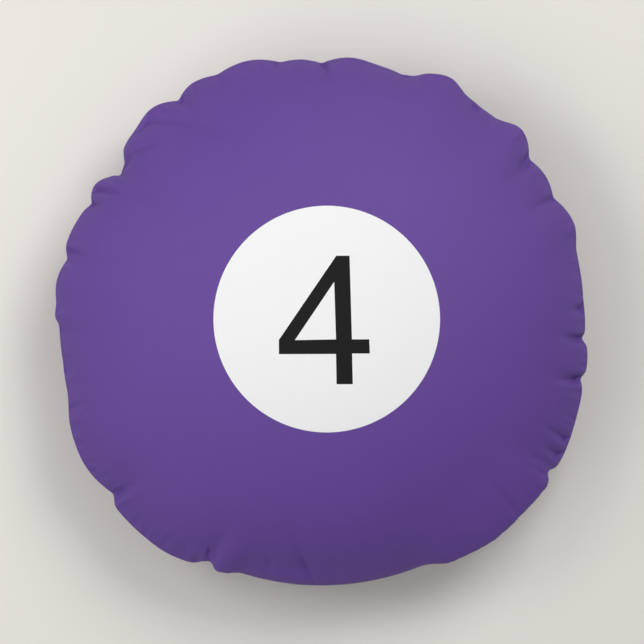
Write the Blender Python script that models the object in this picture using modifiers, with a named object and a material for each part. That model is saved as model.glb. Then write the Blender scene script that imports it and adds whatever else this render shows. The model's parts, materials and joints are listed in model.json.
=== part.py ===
"""Round scatter cushion: a zipped woven cover round a stuffed inner pad.

Metres, +Z up. The cushion lies on its back on the plane z = 0 with its printed front up and the
numeral's top towards +Y. The origin is the middle of its footprint. Bearings are degrees round the
vertical axis, from +X towards +Y. A section is a list of (radius, height above the seam plane).
"""

import math

import bmesh
import bpy
from mathutils import Vector

# Stuffed cover
RADIUS = 0.1875
RISE = 0.064
SEAM_HEIGHT = 0.058
CROWN_POWER = 2.4
EDGE_POWER = 0.75
CROWN_SHARES = (0.0, 0.30, 0.55, 0.75, 0.88, 0.97)
CLOTH = 0.0006
ALLOWANCE = 0.0095
SEAM_GAP = 0.0003
CLEARANCE = 0.0003
COVER_STEPS = 60

# Inner pad
PAD_RADIUS = 0.172
PAD_CLOTH = 0.0005
PAD_ALLOWANCE = 0.008
PAD_FIT = 0.0003
FILL_RADIUS = 0.1686
PAD_STEPS = 30

# Concealed zip in the edge seam, from its open end to its closed end
ZIP_START = -114
ZIP_END = -36
COIL_START = -111
COIL_END = -39
ZIP_STEP = 3
ZIP_LIFT = 0.0007
ZIP_ZONE = 0.012
TAPE = 0.0004
TAPE_WIDTH = 0.009
TAPE_GAP = 0.0006
TAPE_EDGE_RADIUS = 0.1799
COIL_RADIUS = 0.1784
COIL_HEIGHT = 0.00155
COIL_HALF_DEPTH = 0.0012
COIL_HALF_HEIGHT = 0.0007
COIL_SIDES = 8
STITCH_SHARE = 0.75
TOP_STOP_AHEAD = 0.5
BOTTOM_STOP_BEHIND = 0.6
TOP_STOP_HALF_LENGTH = 0.001
BOTTOM_STOP_HALF_LENGTH = 0.0013
STOP_PROUD = 0.0002
STOP_BEVEL = 0.0003

# Zip slider, measured outwards along the radius and up from the seam plane
SLIDER_REST = -41
SLIDER_LENGTH = 0.010
SLIDER_INNER = 0.1754
SLIDER_PLATE = 0.0011
SLIDER_FLANGE = 0.1804
SLIDER_OUTER = 0.1813
SLIDER_HALF_HEIGHT = 0.0032
SLIDER_WALL = 0.0006
CHANNEL_MOUTH = 0.0016
NECK_HALF_HEIGHT = 0.0005
NECK_END = 0.1880
NECK_HALF_LENGTH = 0.0030
BRIDGE_LEG = 0.0010
BRIDGE_RADIUS = 0.1900
BRIDGE_PIN = 0.0005
PIN_SIDES = 12

# Shapes that are joined are slightly smaller than the last one, so that no two faces share a plane
NECK_HEIGHT_SHARE = 0.9
LEG_HEIGHT_SHARE = 0.8
LEG_SIDE_SHARE = 0.98

# Pull tab, hanging from the bridge
EYE_INNER = 0.0009
EYE_OUTER = 0.0017
EYE_LENGTH = 0.0020
TAB_LENGTH = 0.022
TAB_TOP = 0.0013
TAB_THROAT = 0.0008
TAB_HALF_WIDTH = 0.0030
TAB_THICKNESS = 0.0012
TAB_SWELL_POWER = 1.4
TAB_ROUND_FROM = 0.82
TAB_SHARES = (0.0, 0.12, 0.25, 0.4, 0.55, 0.7, 0.82, 0.9, 0.96, 0.99)
EYE_SIDES = 16

# Threads
THREAD = 0.0004
FINE_THREAD = 0.00025
OVERLOCK = 0.00045
THREAD_SIDES = 6
EDGE_THREAD_INSET = 2 * THREAD
PAD_THREAD_INSET = 1.8 * THREAD
CLOSING_END = 120
CLOSING_FACETS = 3

# Labels: caught in a seam at the root, bent, then folded down along the pad's skin
LABEL = 0.0003
LABEL_DEPTH = -0.0007
LABEL_END = 0.0190
CARE_LABEL_BEARINGS = (-27, -18)
CARE_LABEL_ROOT = 0.1838
CARE_LABEL_BEND = (0.1760, 0.0003)
CARE_LABEL_FOLD = 0.0020
PAD_LABEL_BEARINGS = (54, 66)
PAD_LABEL_ROOT = 0.0006
PAD_LABEL_BEND = (0.0040, 0.0012)
PAD_LABEL_FOLD = 0.0060

PURPLE = (0.147, 0.080, 0.283)
DARK_PURPLE = (0.100, 0.052, 0.200)
WHITE = (0.80, 0.80, 0.78)
METAL = (0.55, 0.55, 0.57)


def clear_scene():
    for obj in list(bpy.data.objects):
        bpy.data.objects.remove(obj, do_unlink=True)


def new_collection(name):
    collection = bpy.data.collections.new(name)
    bpy.context.scene.collection.children.link(collection)
    return collection


def material(name, colour, roughness, metallic=0.0):
    made = bpy.data.materials.new(name)
    made.use_nodes = True
    shader = made.node_tree.nodes["Principled BSDF"]
    shader.inputs["Base Color"].default_value = (*colour, 1.0)
    shader.inputs["Roughness"].default_value = roughness
    shader.inputs["Metallic"].default_value = metallic
    return made


def add_object(name, bm, finish):
    """One named object in the cushion's collection, made from a bmesh, which is used up."""
    mesh = bpy.data.meshes.new(name)
    bm.to_mesh(mesh)
    bm.free()
    mesh.shade_smooth()
    mesh.set_sharp_from_angle(angle=math.radians(35))
    mesh.materials.append(finish)
    obj = bpy.data.objects.new(name, mesh)
    PARTS.objects.link(obj)
    return obj


# ---- Sections of the stuffed shape ----


def crown(share):
    """Height of a stuffed panel as a share of its rise, at a share of its radius."""
    return (1 - share**CROWN_POWER) ** EDGE_POWER


def cover_outline(pressed):
    """Outer skin of a cover panel from crown to rim. The pressed back is flat where it rests."""
    shares = list(CROWN_SHARES)
    if pressed:
        flat = (1 - (SEAM_HEIGHT / RISE) ** (1 / EDGE_POWER)) ** (1 / CROWN_POWER)
        shares = [0.0, flat] + [share for share in shares if share > flat]
    limit = SEAM_HEIGHT if pressed else RISE
    skin = [Vector((RADIUS * share, min(RISE * crown(share), limit))) for share in shares]
    return skin + [Vector((RADIUS, SEAM_GAP / 2))]


def inside(outline, distance):
    """The outline moved to its hollow side. Its first point stays on the vertical axis."""
    moved = []
    for i, point in enumerate(outline):
        after = outline[min(i + 1, len(outline) - 1)]
        along = (after - outline[max(i - 1, 0)]).normalized() if i else Vector((1, 0))
        moved.append(point + distance * Vector((along.y, -along.x)))
    return moved


def pad_outline(pressed):
    """Outer skin of a pad panel: it follows the cover's inside, with a blunter edge of its own."""
    skin = inside(cover_outline(pressed), CLOTH + PAD_FIT)[:-2]
    return skin + [Vector((PAD_RADIUS, SEAM_GAP / 2))]


class Edge:
    """The straight last stretch of an outline, as a ruler for what lies along it inside the rim."""

    def __init__(self, outline, lift=0.0):
        self.rim = outline[-1] + Vector((0, lift))
        self.up = (outline[-2] - outline[-1]).normalized()
        self.inward = Vector((-self.up.y, self.up.x))

    def at(self, along, depth):
        return self.rim + along * self.up + depth * self.inward

    def level(self, depth, height):
        """The point at a depth under the outer skin and a height above the rim."""
        along = (height - depth * self.inward.y) / self.up.y
        return self.at(along, depth)


def shell_section(outline, cloth, allowance):
    """A sewn panel: its skin, the fold at the seam, and the allowance turned in behind the skin."""
    edge = Edge(outline)
    behind = cloth + CLEARANCE
    fold = [edge.level(behind + cloth, 0), edge.at(allowance, behind + cloth), edge.at(allowance, behind)]
    slot = [edge.level(behind, cloth), edge.level(cloth, cloth)]
    inner = inside(outline, cloth)[:-1]
    return outline + fold + slot + inner[::-1]


def round_section(centre, half_width, half_height, sides):
    turns = [2 * math.pi * i / sides for i in range(sides)]
    return [centre + Vector((half_width * math.cos(t), half_height * math.sin(t))) for t in turns]


def strip_section(points, thickness):
    """A flat strip of constant thickness whose middle line runs through the points."""
    sides = ([], [])
    for i, point in enumerate(points):
        along = (points[min(i + 1, len(points) - 1)] - points[max(i - 1, 0)]).normalized()
        across = Vector((-along.y, along.x)) * thickness / 2
        sides[0].append(point + across)
        sides[1].append(point - across)
    return sides[0] + sides[1][::-1]


def flipped(section):
    """The same section under the seam plane, still running from top to bottom outside."""
    return [Vector((point.x, -point.y)) for point in reversed(section)]


# ---- Solids round the vertical axis ----


def turned(name, section, steps, finish, closed=False):
    """The section turned all the way round with a Screw modifier, as a plain mesh object."""
    mesh = bpy.data.meshes.new(name)
    count = len(section)
    edges = [(i, i + 1) for i in range(count - 1)] + ([(count - 1, 0)] if closed else [])
    mesh.from_pydata([(p.x, 0, SEAM_HEIGHT + p.y) for p in section], edges, [])
    profile = bpy.data.objects.new(name, mesh)
    PARTS.objects.link(profile)
    screw = profile.modifiers.new("turn", "SCREW")
    screw.steps = steps
    screw.render_steps = steps
    screw.use_merge_vertices = True
    screw.merge_threshold = 0.00001
    bpy.context.view_layer.update()
    bm = bmesh.new()
    bm.from_object(profile, bpy.context.evaluated_depsgraph_get())
    bpy.data.objects.remove(profile, do_unlink=True)
    bmesh.ops.recalc_face_normals(bm, faces=bm.faces)
    return add_object(name, bm, finish)


def bent_bar(name, section, start, end, step, finish):
    """A solid bar of the section, bent round the vertical axis between two bearings."""
    bm = bmesh.new()
    angle = math.radians(start)
    out = Vector((math.cos(angle), math.sin(angle), 0))
    corners = [bm.verts.new(out * p.x + Vector((0, 0, SEAM_HEIGHT + p.y))) for p in section]
    cap = bm.faces.new(corners)
    bmesh.ops.spin(
        bm,
        geom=[cap, *cap.edges, *cap.verts],
        cent=(0, 0, 0),
        axis=(0, 0, 1),
        angle=math.radians(end - start),
        steps=round((end - start) / step),
    )
    bmesh.ops.recalc_face_normals(bm, faces=bm.faces)
    return add_object(name, bm, finish)


def open_for_zip(obj, side):
    """Moves the cloth edge off the seam plane along the zip, so that the slider's neck has a slit."""
    for vertex in obj.data.vertices:
        radius = math.hypot(vertex.co.x, vertex.co.y)
        bearing = math.degrees(math.atan2(vertex.co.y, vertex.co.x))
        if radius > RADIUS - ZIP_ZONE and ZIP_START - 1 < bearing < ZIP_END + 1:
            vertex.co.z += side * ZIP_LIFT


# ---- Cover ----


def make_cover():
    purple = material("printed_cloth", PURPLE, 0.85)
    back_cloth = material("back_cloth", PURPLE, 0.85)
    overlock = material("overlock_thread", DARK_PURPLE, 0.7)
    for name, side, cloth in (("front", 1, purple), ("back", -1, back_cloth)):
        outline = cover_outline(pressed=side < 0)
        section = shell_section(outline, CLOTH, ALLOWANCE)
        ring_centre = Edge(outline).at(ALLOWANCE + 2 * OVERLOCK, CLOTH + 2 * OVERLOCK)
        ring = round_section(ring_centre, OVERLOCK, OVERLOCK, THREAD_SIDES)
        if side < 0:
            section = flipped(section)
            ring = flipped(ring)
        open_for_zip(turned(f"{name}_panel", section, COVER_STEPS, cloth), side)
        open_for_zip(turned(f"{name}_overlock_thread", ring, COVER_STEPS, overlock, closed=True), side)


def make_edge_seam():
    """Lockstitch in the fold's inner corner, from the zip's closed end round to its open end."""
    fold_depth = 2 * CLOTH + CLEARANCE
    corner = Edge(cover_outline(pressed=False)).level(fold_depth, 0)
    centre = Vector((corner.x - EDGE_THREAD_INSET, 0))
    section = round_section(centre, THREAD, THREAD, THREAD_SIDES)
    facet = 360 // COVER_STEPS
    thread = material("seam_thread", DARK_PURPLE, 0.7)
    bent_bar("edge_seam_thread", section, ZIP_END + facet, ZIP_START - facet + 360, facet, thread)


def make_care_label():
    """Blank label caught in the seam, folded down over the pad's edge."""
    pad_edge = Edge(pad_outline(pressed=False))
    route = [
        Vector((CARE_LABEL_ROOT, 0.0)),
        Vector(CARE_LABEL_BEND),
        pad_edge.at(CARE_LABEL_FOLD, LABEL_DEPTH),
        pad_edge.at(LABEL_END, LABEL_DEPTH),
    ]
    satin = material("label_satin", WHITE, 0.5)
    section = flipped(strip_section(route, LABEL))
    bent_bar("care_label", section, *CARE_LABEL_BEARINGS, ZIP_STEP, satin)


# ---- Zip ----


def make_zip():
    tape = material("zip_tape", DARK_PURPLE, 0.8)
    coil = material("zip_coil", DARK_PURPLE, 0.4)
    stitching = material("tape_stitching", DARK_PURPLE, 0.7)
    edge = Edge(cover_outline(pressed=False), ZIP_LIFT)
    low = SEAM_GAP / 2 + ZIP_LIFT
    outer = 2 * CLOTH + CLEARANCE + TAPE_GAP
    tape_section = [
        Vector((TAPE_EDGE_RADIUS, low)),
        edge.level(outer, 0),
        edge.at(TAPE_WIDTH, outer),
        edge.at(TAPE_WIDTH, outer + TAPE),
        edge.level(outer + TAPE, TAPE),
        Vector((TAPE_EDGE_RADIUS, low + TAPE)),
    ]
    coil_centre = Vector((COIL_RADIUS, COIL_HEIGHT))
    coil_section = round_section(coil_centre, COIL_HALF_DEPTH, COIL_HALF_HEIGHT, COIL_SIDES)
    stitch_centre = edge.at(STITCH_SHARE * TAPE_WIDTH, outer + TAPE + CLEARANCE + FINE_THREAD)
    stitch_section = round_section(stitch_centre, FINE_THREAD, FINE_THREAD, THREAD_SIDES)
    for name, side in (("front", 1), ("back", -1)):
        place = flipped if side < 0 else list
        bent_bar(f"{name}_zip_tape", place(tape_section), ZIP_START, ZIP_END, ZIP_STEP, tape)
        bent_bar(f"{name}_zip_coil", place(coil_section), COIL_START, COIL_END, ZIP_STEP, coil)
        bent_bar(
            f"{name}_tape_stitching", place(stitch_section), ZIP_START, ZIP_END, ZIP_STEP, stitching
        )


def add_block(bm, low, high):
    """A box in a bmesh, between two opposite corners."""
    made = bmesh.ops.create_cube(bm, size=1.0)
    for vertex in made["verts"]:
        share = vertex.co + Vector((0.5, 0.5, 0.5))
        vertex.co = [a + s * (b - a) for a, b, s in zip(low, high, share)]


def make_stop(name, bearing, low, high):
    """A crimped metal stop, a block with softened edges on the end of the coils."""
    bm = bmesh.new()
    add_block(bm, low, high)
    bmesh.ops.bevel(bm, geom=bm.edges[:], offset=STOP_BEVEL, segments=1, affect="EDGES")
    stop = add_object(name, bm, STOP_METAL)
    stop.location.z = SEAM_HEIGHT
    stop.rotation_euler.z = math.radians(bearing)


def make_stops():
    near = COIL_RADIUS - COIL_HALF_DEPTH
    far = COIL_RADIUS + COIL_HALF_DEPTH
    low = SEAM_GAP / 2 + ZIP_LIFT
    high = COIL_HEIGHT + COIL_HALF_HEIGHT + STOP_PROUD
    top = TOP_STOP_HALF_LENGTH
    bottom = BOTTOM_STOP_HALF_LENGTH
    ahead = COIL_END + TOP_STOP_AHEAD
    behind = COIL_START - BOTTOM_STOP_BEHIND
    make_stop("front_zip_top_stop", ahead, (near, -top, low), (far, top, high))
    make_stop("back_zip_top_stop", ahead, (near, -top, -high), (far, top, -low))
    make_stop("zip_bottom_stop", behind, (near, -bottom, -high), (far, bottom, high))


def add_helper(name, bm):
    """A hidden closed shape that a Boolean modifier reads."""
    mesh = bpy.data.meshes.new(name)
    bm.to_mesh(mesh)
    bm.free()
    helper = bpy.data.objects.new(name, mesh)
    HELPERS.objects.link(helper)
    helper.hide_render = True
    helper.display_type = "WIRE"
    return helper


def combine(obj, helper, operation):
    boolean = obj.modifiers.new(helper.name, "BOOLEAN")
    boolean.operation = operation
    boolean.object = helper


def add_pin(bm, radius, length, sides):
    """A cylinder in a bmesh along Y, centred on the origin."""
    made = bmesh.ops.create_cone(
        bm, cap_ends=True, segments=sides, radius1=radius, radius2=radius, depth=length
    )
    for vertex in made["verts"]:
        vertex.co = (vertex.co.x, vertex.co.z, -vertex.co.y)


def make_slider():
    """Channels round both coils, a neck out through the slit, and a bridge for the pull tab."""
    inside_face = SLIDER_INNER + SLIDER_PLATE
    wall = SLIDER_HALF_HEIGHT - SLIDER_WALL
    upper = [
        Vector((SLIDER_OUTER, NECK_HALF_HEIGHT)),
        Vector((inside_face, NECK_HALF_HEIGHT)),
        Vector((inside_face, wall)),
        Vector((SLIDER_FLANGE, wall)),
        Vector((SLIDER_FLANGE, CHANNEL_MOUTH)),
        Vector((SLIDER_OUTER, CHANNEL_MOUTH)),
        Vector((SLIDER_OUTER, SLIDER_HALF_HEIGHT)),
        Vector((SLIDER_INNER, SLIDER_HALF_HEIGHT)),
    ]
    bm = bmesh.new()
    half = SLIDER_LENGTH / 2
    section = upper + flipped(upper)
    end = bm.faces.new([bm.verts.new((p.x, -half, p.y)) for p in section])
    body = bmesh.ops.extrude_face_region(bm, geom=[end])["geom"]
    moved = [item for item in body if isinstance(item, bmesh.types.BMVert)]
    bmesh.ops.translate(bm, verts=moved, vec=(0, SLIDER_LENGTH, 0))
    bmesh.ops.recalc_face_normals(bm, faces=bm.faces)
    slider = add_object("zip_slider", bm, material("slider_metal", DARK_PURPLE, 0.35, 0.6))

    height = NECK_HEIGHT_SHARE * NECK_HALF_HEIGHT
    neck = bmesh.new()
    start = SLIDER_OUTER - SLIDER_PLATE
    add_block(neck, (start, -NECK_HALF_LENGTH, -height), (NECK_END, NECK_HALF_LENGTH, height))
    combine(slider, add_helper("slider_neck", neck), "UNION")
    for side in (-1, 1):
        leg = bmesh.new()
        across = sorted((side * NECK_HALF_LENGTH * LEG_SIDE_SHARE, side * (NECK_HALF_LENGTH - BRIDGE_LEG)))
        leg_height = LEG_HEIGHT_SHARE * NECK_HALF_HEIGHT
        start = (NECK_END - BRIDGE_PIN, across[0], -leg_height)
        add_block(leg, start, (BRIDGE_RADIUS + 0.5 * BRIDGE_PIN, across[1], leg_height))
        combine(slider, add_helper(f"bridge_leg_{side}", leg), "UNION")
    pin = bmesh.new()
    add_pin(pin, BRIDGE_PIN, 2 * NECK_HALF_LENGTH, PIN_SIDES)
    bmesh.ops.translate(pin, verts=pin.verts, vec=(BRIDGE_RADIUS, 0, 0))
    combine(slider, add_helper("bridge_pin", pin), "UNION")
    slider.location.z = SEAM_HEIGHT
    slider.rotation_euler.z = math.radians(SLIDER_REST)
    for helper in HELPERS.objects:
        helper.location = slider.location
        helper.rotation_euler = slider.rotation_euler
    return slider


def tab_half_width(share):
    """Teardrop outline of the tab, from its throat to its rounded end."""
    swell = TAB_THROAT + (TAB_HALF_WIDTH - TAB_THROAT) * math.sin(0.5 * math.pi * share**TAB_SWELL_POWER)
    roundness = math.sqrt(max(0.0, 1 - max(0.0, (share - TAB_ROUND_FROM) / (1 - TAB_ROUND_FROM)) ** 2))
    return swell * roundness


def make_pull_tab(slider):
    """Teardrop tab whose eye runs on the bridge. Its origin is the bridge's middle."""
    bm = bmesh.new()
    drop = [(tab_half_width(s), -TAB_TOP - s * (TAB_LENGTH - TAB_TOP)) for s in TAB_SHARES]
    outline = [(w, z) for w, z in drop] + [(-w, z) for w, z in reversed(drop)]
    front = bm.faces.new([bm.verts.new((TAB_THICKNESS / 2, w, z)) for w, z in outline])
    body = bmesh.ops.extrude_face_region(bm, geom=[front])["geom"]
    moved = [item for item in body if isinstance(item, bmesh.types.BMVert)]
    bmesh.ops.translate(bm, verts=moved, vec=(-TAB_THICKNESS, 0, 0))
    bmesh.ops.recalc_face_normals(bm, faces=bm.faces)
    tab = add_object("zip_pull_tab", bm, material("tab_metal", DARK_PURPLE, 0.35, 0.6))
    tab.parent = slider
    tab.location.x = BRIDGE_RADIUS

    for name, radius, length, operation in (
        ("tab_eye", EYE_OUTER, EYE_LENGTH, "UNION"),
        ("tab_hole", EYE_INNER, 2 * EYE_LENGTH, "DIFFERENCE"),
    ):
        shape = bmesh.new()
        add_pin(shape, radius, length, EYE_SIDES)
        helper = add_helper(name, shape)
        helper.parent = tab
        combine(tab, helper, operation)


# ---- Inner pad ----


def make_pad():
    cloth = material("pad_cloth", WHITE, 0.9)
    facet = 360 // PAD_STEPS
    for name, side in (("top", 1), ("bottom", -1)):
        outline = pad_outline(pressed=side < 0)
        section = shell_section(outline, PAD_CLOTH, PAD_ALLOWANCE)
        if side < 0:
            section = flipped(section)
        turned(f"insert_{name}_panel", section, PAD_STEPS, cloth)

    thread = material("pad_thread", WHITE, 0.8)
    corner = Edge(pad_outline(pressed=False)).level(2 * PAD_CLOTH + CLEARANCE, 0)
    hidden = round_section(Vector((corner.x - PAD_THREAD_INSET, 0)), THREAD, THREAD, THREAD_SIDES)
    closing_start = CLOSING_END - CLOSING_FACETS * facet
    bent_bar("insert_seam_thread", hidden, CLOSING_END, closing_start + 360, facet, thread)
    whipped_centre = Vector((PAD_RADIUS + CLEARANCE + THREAD, 0))
    whipped = round_section(whipped_centre, THREAD, THREAD, THREAD_SIDES)
    bent_bar("insert_closing_thread", whipped, closing_start, CLOSING_END, facet, thread)

    edge = Edge(pad_outline(pressed=False))
    route = [
        Vector((PAD_RADIUS + PAD_LABEL_ROOT, 0.0)),
        Vector((PAD_RADIUS + PAD_LABEL_BEND[0], PAD_LABEL_BEND[1])),
        edge.at(PAD_LABEL_FOLD, LABEL_DEPTH),
        edge.at(LABEL_END, LABEL_DEPTH),
    ]
    satin = material("pad_label_satin", WHITE, 0.5)
    section = strip_section(route, LABEL)
    bent_bar("insert_label", section, *PAD_LABEL_BEARINGS, ZIP_STEP, satin)


def make_fill():
    """The polyester fibre mass, one soft solid that fills the pad."""
    halves = []
    for pressed in (False, True):
        skin = inside(pad_outline(pressed), PAD_CLOTH + CLEARANCE)[:-1]
        halves.append(skin)
    top, bottom = halves
    rim = [Vector((FILL_RADIUS, 0.0))]
    section = top + rim + flipped(bottom)
    turned("fibre_fill", section, PAD_STEPS, material("fibre", WHITE, 1.0))


clear_scene()
PARTS = new_collection("pool_ball_cushion")
HELPERS = new_collection("helpers")
STOP_METAL = material("stop_metal", METAL, 0.35, 1.0)
make_cover()
make_edge_seam()
make_care_label()
make_zip()
make_stops()
make_pull_tab(make_slider())
make_pad()
make_fill()
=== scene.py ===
"""Looks of the round pool ball cushion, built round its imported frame. Metres, +Z up.

The cushion lies on its back with its printed front up. Bearings are degrees from +X towards +Y.
Each cover panel is a flat disc of cloth. Its rim is held on the seam line while cloth simulation
inflates it. What lies inside follows the inflated panels, at depths measured in from their skins:
an inset is a distance along the cloth from the rim, and a side is 1 for the front, -1 for the back.
"""

import json
import math

import bmesh
import bpy
import numpy as np
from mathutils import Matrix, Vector, noise
from mathutils.bvhtree import BVHTree
from mathutils.geometry import delaunay_2d_cdt


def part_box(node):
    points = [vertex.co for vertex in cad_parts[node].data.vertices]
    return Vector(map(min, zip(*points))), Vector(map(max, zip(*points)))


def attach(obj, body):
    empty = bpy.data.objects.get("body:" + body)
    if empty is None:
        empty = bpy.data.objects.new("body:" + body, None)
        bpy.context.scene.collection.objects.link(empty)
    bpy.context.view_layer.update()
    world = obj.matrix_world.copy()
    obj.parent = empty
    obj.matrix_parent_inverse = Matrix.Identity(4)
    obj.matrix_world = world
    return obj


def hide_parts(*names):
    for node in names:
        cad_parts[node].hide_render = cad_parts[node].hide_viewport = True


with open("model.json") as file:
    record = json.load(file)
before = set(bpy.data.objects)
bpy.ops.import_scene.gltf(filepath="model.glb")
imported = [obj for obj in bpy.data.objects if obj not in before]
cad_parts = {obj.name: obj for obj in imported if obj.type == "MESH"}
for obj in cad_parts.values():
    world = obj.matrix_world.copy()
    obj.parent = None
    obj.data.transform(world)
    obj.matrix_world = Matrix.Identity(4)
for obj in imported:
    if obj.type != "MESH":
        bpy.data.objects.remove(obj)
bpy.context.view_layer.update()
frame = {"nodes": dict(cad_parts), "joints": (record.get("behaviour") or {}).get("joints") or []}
SCENE = bpy.context.scene
JOINTS = {joint["name"]: joint for joint in frame["joints"]}

# Driving sizes, read from the frame
SEAM = JOINTS["zip_slide"]["pos_m"][2]
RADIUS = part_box("front_panel")[1].x
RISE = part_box("front_panel")[1].z - SEAM
PAD_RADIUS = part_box("insert_top_panel")[1].x

# Flat cut and stuffed shape of a cover panel
CUT = 0.203
RIM_POINTS = 480
CELL = 0.0062
BAND_RINGS = 7
BAND_STEP = 0.0034
CROWN_POWER = 2.4
EDGE_POWER = 0.75
EDGE_REACH = 8
PUCKER_SHARPNESS = 1.8
CLOTH = 0.0005
ALLOWANCE = 0.0095
ALLOWANCE_DEPTH = 0.0015
TAPE_DEPTH = 0.0021
SEAM_GAP = 0.00015
MOVE_CAP = 0.012
REST_BLEND = 0.004

# Concealed zip, in the stretch of seam between these bearings
ZIP_START = -114
ZIP_END = -36
ZIP_BLEND = 4
ZIP_LINE = 0.1862
ZIP_GAP = 0.00085
COIL_RADIUS = 0.1784
COIL_HEIGHT = 0.00155
COIL_PITCH = 0.0015
COIL_HALF_WIDTH = 0.00095
COIL_HALF_HEIGHT = 0.00046
COIL_WIRE = 0.00023
COIL_MARGIN = 3

# Threads and stitches: radii, pitches, and places in from the seam
SEWING_THREAD = 0.0002
FINE_THREAD = 0.00018
EDGE_STITCH_PITCH = 0.0028
EDGE_STITCH_INSET = 0.0030
OVERLOCK_PITCH = 0.0030
TAPE_STITCH_PITCH = 0.0026
TAPE_STITCH_INSET = 0.0067
TAPE_STITCH_SINK = 0.0003
PAD_STITCH_PITCH = 0.0030
PAD_STITCH_INSET = 0.0022
ROLL_INSET = 0.008
ROLL_REACH = 0.045
ROLL_LIFT = 0.0008
ROLL_EXTRA = 0.0018
SLIDER_ROOM = 0.0013
ROOM_START = 0.0025
ROOM_FULL = 0.009
ROOM_FADE = 0.011
ROLL_FULL = 0.004

# Print, on the flat cloth
DISC_CENTRE = (0.0036, 0.0013)
DISC_RADIUS = 0.0765
DISC_POINTS = 150
PRINT_STEP = 0.0035
CORNER_COSINE = 0.97
NUMERAL = (
    (0.0099, 0.0437), (0.0188, 0.0437), (0.0204, -0.0123), (0.0320, -0.0123), (0.0324, -0.0218),
    (0.0205, -0.0218), (0.0210, -0.0424), (0.0101, -0.0424), (0.0097, -0.0221), (-0.0285, -0.0222),
    (-0.0285, -0.0126),
)
NUMERAL_HOLE = ((0.0085, 0.0262), (-0.0178, -0.0128), (0.0097, -0.0123))

# Drawn-in seam line: bearing and radius in millimetres at each lobe and pucker of the edge
EDGE_POINTS = (
    (-179, 185), (-171, 184.5), (-164.5, 186), (-157.5, 192), (-154, 194), (-149, 195.5), (-140, 190.5),
    (-137.5, 196), (-126, 197), (-119.5, 194.5), (-115, 186.7), (-112.5, 189), (-103, 184.7),
    (-95, 183.4), (-91, 185), (-80, 186.4), (-70, 186.6), (-60, 191), (-50, 195), (-43, 194.3),
    (-37, 195.2), (-34, 191.8), (-31, 195.3), (-20, 192), (-15, 190.3), (-12.5, 186.3), (-10.5, 189.9),
    (-5.5, 188), (-4, 183), (-2, 186), (5, 185.2), (15, 186.4), (21, 191), (28, 185), (33, 188.3),
    (38, 185.5), (44, 195.4), (49.5, 188.5), (53, 187.8), (57, 189), (62, 194.3), (66.5, 190.5),
    (69.5, 184.5), (72, 182.7), (78, 185), (83, 187), (90, 181.7), (96, 185.3), (99, 184.7), (107, 191),
    (113, 188.5), (118, 191), (123, 185.1), (129, 192), (134, 188.5), (139, 185), (141.2, 178),
    (144, 174.6), (149.5, 186.6), (153, 181.7), (157, 186), (163, 188), (166.2, 184), (172, 189),
    (176, 187.4), (179, 188),
)

# Folds in the cloth: bearing at the rim, turn in degrees over each 10 mm inwards, then length,
# half-width and depth in millimetres
FOLDS = (
    (164.6, 0.0, 18, 3.0, 1.6), (153.0, -0.5, 14, 3.5, 1.4), (150.2, -0.9, 42, 3.2, 1.9),
    (144.0, -4.0, 26, 5.7, 2.0), (133.0, -3.0, 52, 9.0, 2.0), (123.0, -1.0, 24, 4.0, 1.5),
    (113.0, 0.0, 16, 4.0, 1.1), (99.8, 0.0, 12, 3.0, 0.8), (90.0, -0.8, 24, 3.2, 1.6),
    (71.5, 0.0, 18, 5.0, 1.2), (54.0, 0.0, 16, 5.0, 0.8), (38.0, -0.5, 24, 3.5, 1.7),
    (28.0, 0.0, 20, 3.5, 1.2), (2.5, 0.0, 18, 5.0, 1.3), (-4.0, 0.0, 16, 3.0, 1.6),
    (-12.6, -0.5, 22, 3.0, 2.0), (-26.0, 0.3, 28, 3.0, 1.4), (-29.5, 0.0, 22, 3.0, 0.9),
    (-34.0, -0.3, 18, 3.0, 1.6), (-45.0, 0.4, 44, 3.5, 1.0), (-60.0, 0.3, 22, 3.5, 0.7),
    (-71.0, 0.0, 20, 3.5, 0.6), (-87.0, 0.0, 32, 3.2, 0.9), (-90.8, -1.4, 42, 3.0, 1.7),
    (-101.0, -0.5, 26, 4.0, 0.9), (-107.0, 0.0, 20, 3.0, 0.8), (-114.5, -0.8, 22, 3.2, 2.0),
    (-140.2, 0.5, 20, 3.5, 1.7), (-161.0, 0.0, 16, 3.5, 0.8), (-171.0, 0.0, 16, 4.0, 0.8),
    (-178.0, 0.2, 18, 3.0, 0.9),
)
# At the sizes first judged above, the folds looked too soft, so these make them all
# longer, narrower and deeper
FOLD_LENGTH_GAIN = 1.25
FOLD_LENGTH_EXTRA = 10
FOLD_WIDTH_GAIN = 0.88
FOLD_DEPTH_GAIN = 1.82
FOLD_START = 0.0024
TAPE_STIFFNESS = 0.024
FOLD_SHOULDER = 0.35
FOLD_SHARPNESS = 1.4
GATHER_DEPTH = 0.0013
GATHER_REACH = 0.026
GATHER_PITCH_RADIUS = 34.0

CLOTH_GLOSS = 0.42
PURPLE = (0.106, 0.044, 0.270)
PLAIN_PURPLE = (0.100, 0.042, 0.255)
THREAD_PURPLE = (0.080, 0.034, 0.200)
WHITE = (0.84, 0.84, 0.84)
INK = (0.009, 0.009, 0.010)
PAD_WHITE = (0.80, 0.80, 0.78)
METAL = (0.55, 0.55, 0.57)
FLOOR = (0.76, 0.74, 0.69)


# ---- Small tools ----


def smooth(share):
    share = np.clip(share, 0.0, 1.0)
    return share * share * (3 - 2 * share)


def polar(bearings, radii):
    turns = np.radians(bearings)
    return np.column_stack((radii * np.cos(turns), radii * np.sin(turns)))


def unit(vectors):
    return vectors / np.maximum(np.linalg.norm(vectors, axis=1, keepdims=True), 1e-12)


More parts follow.
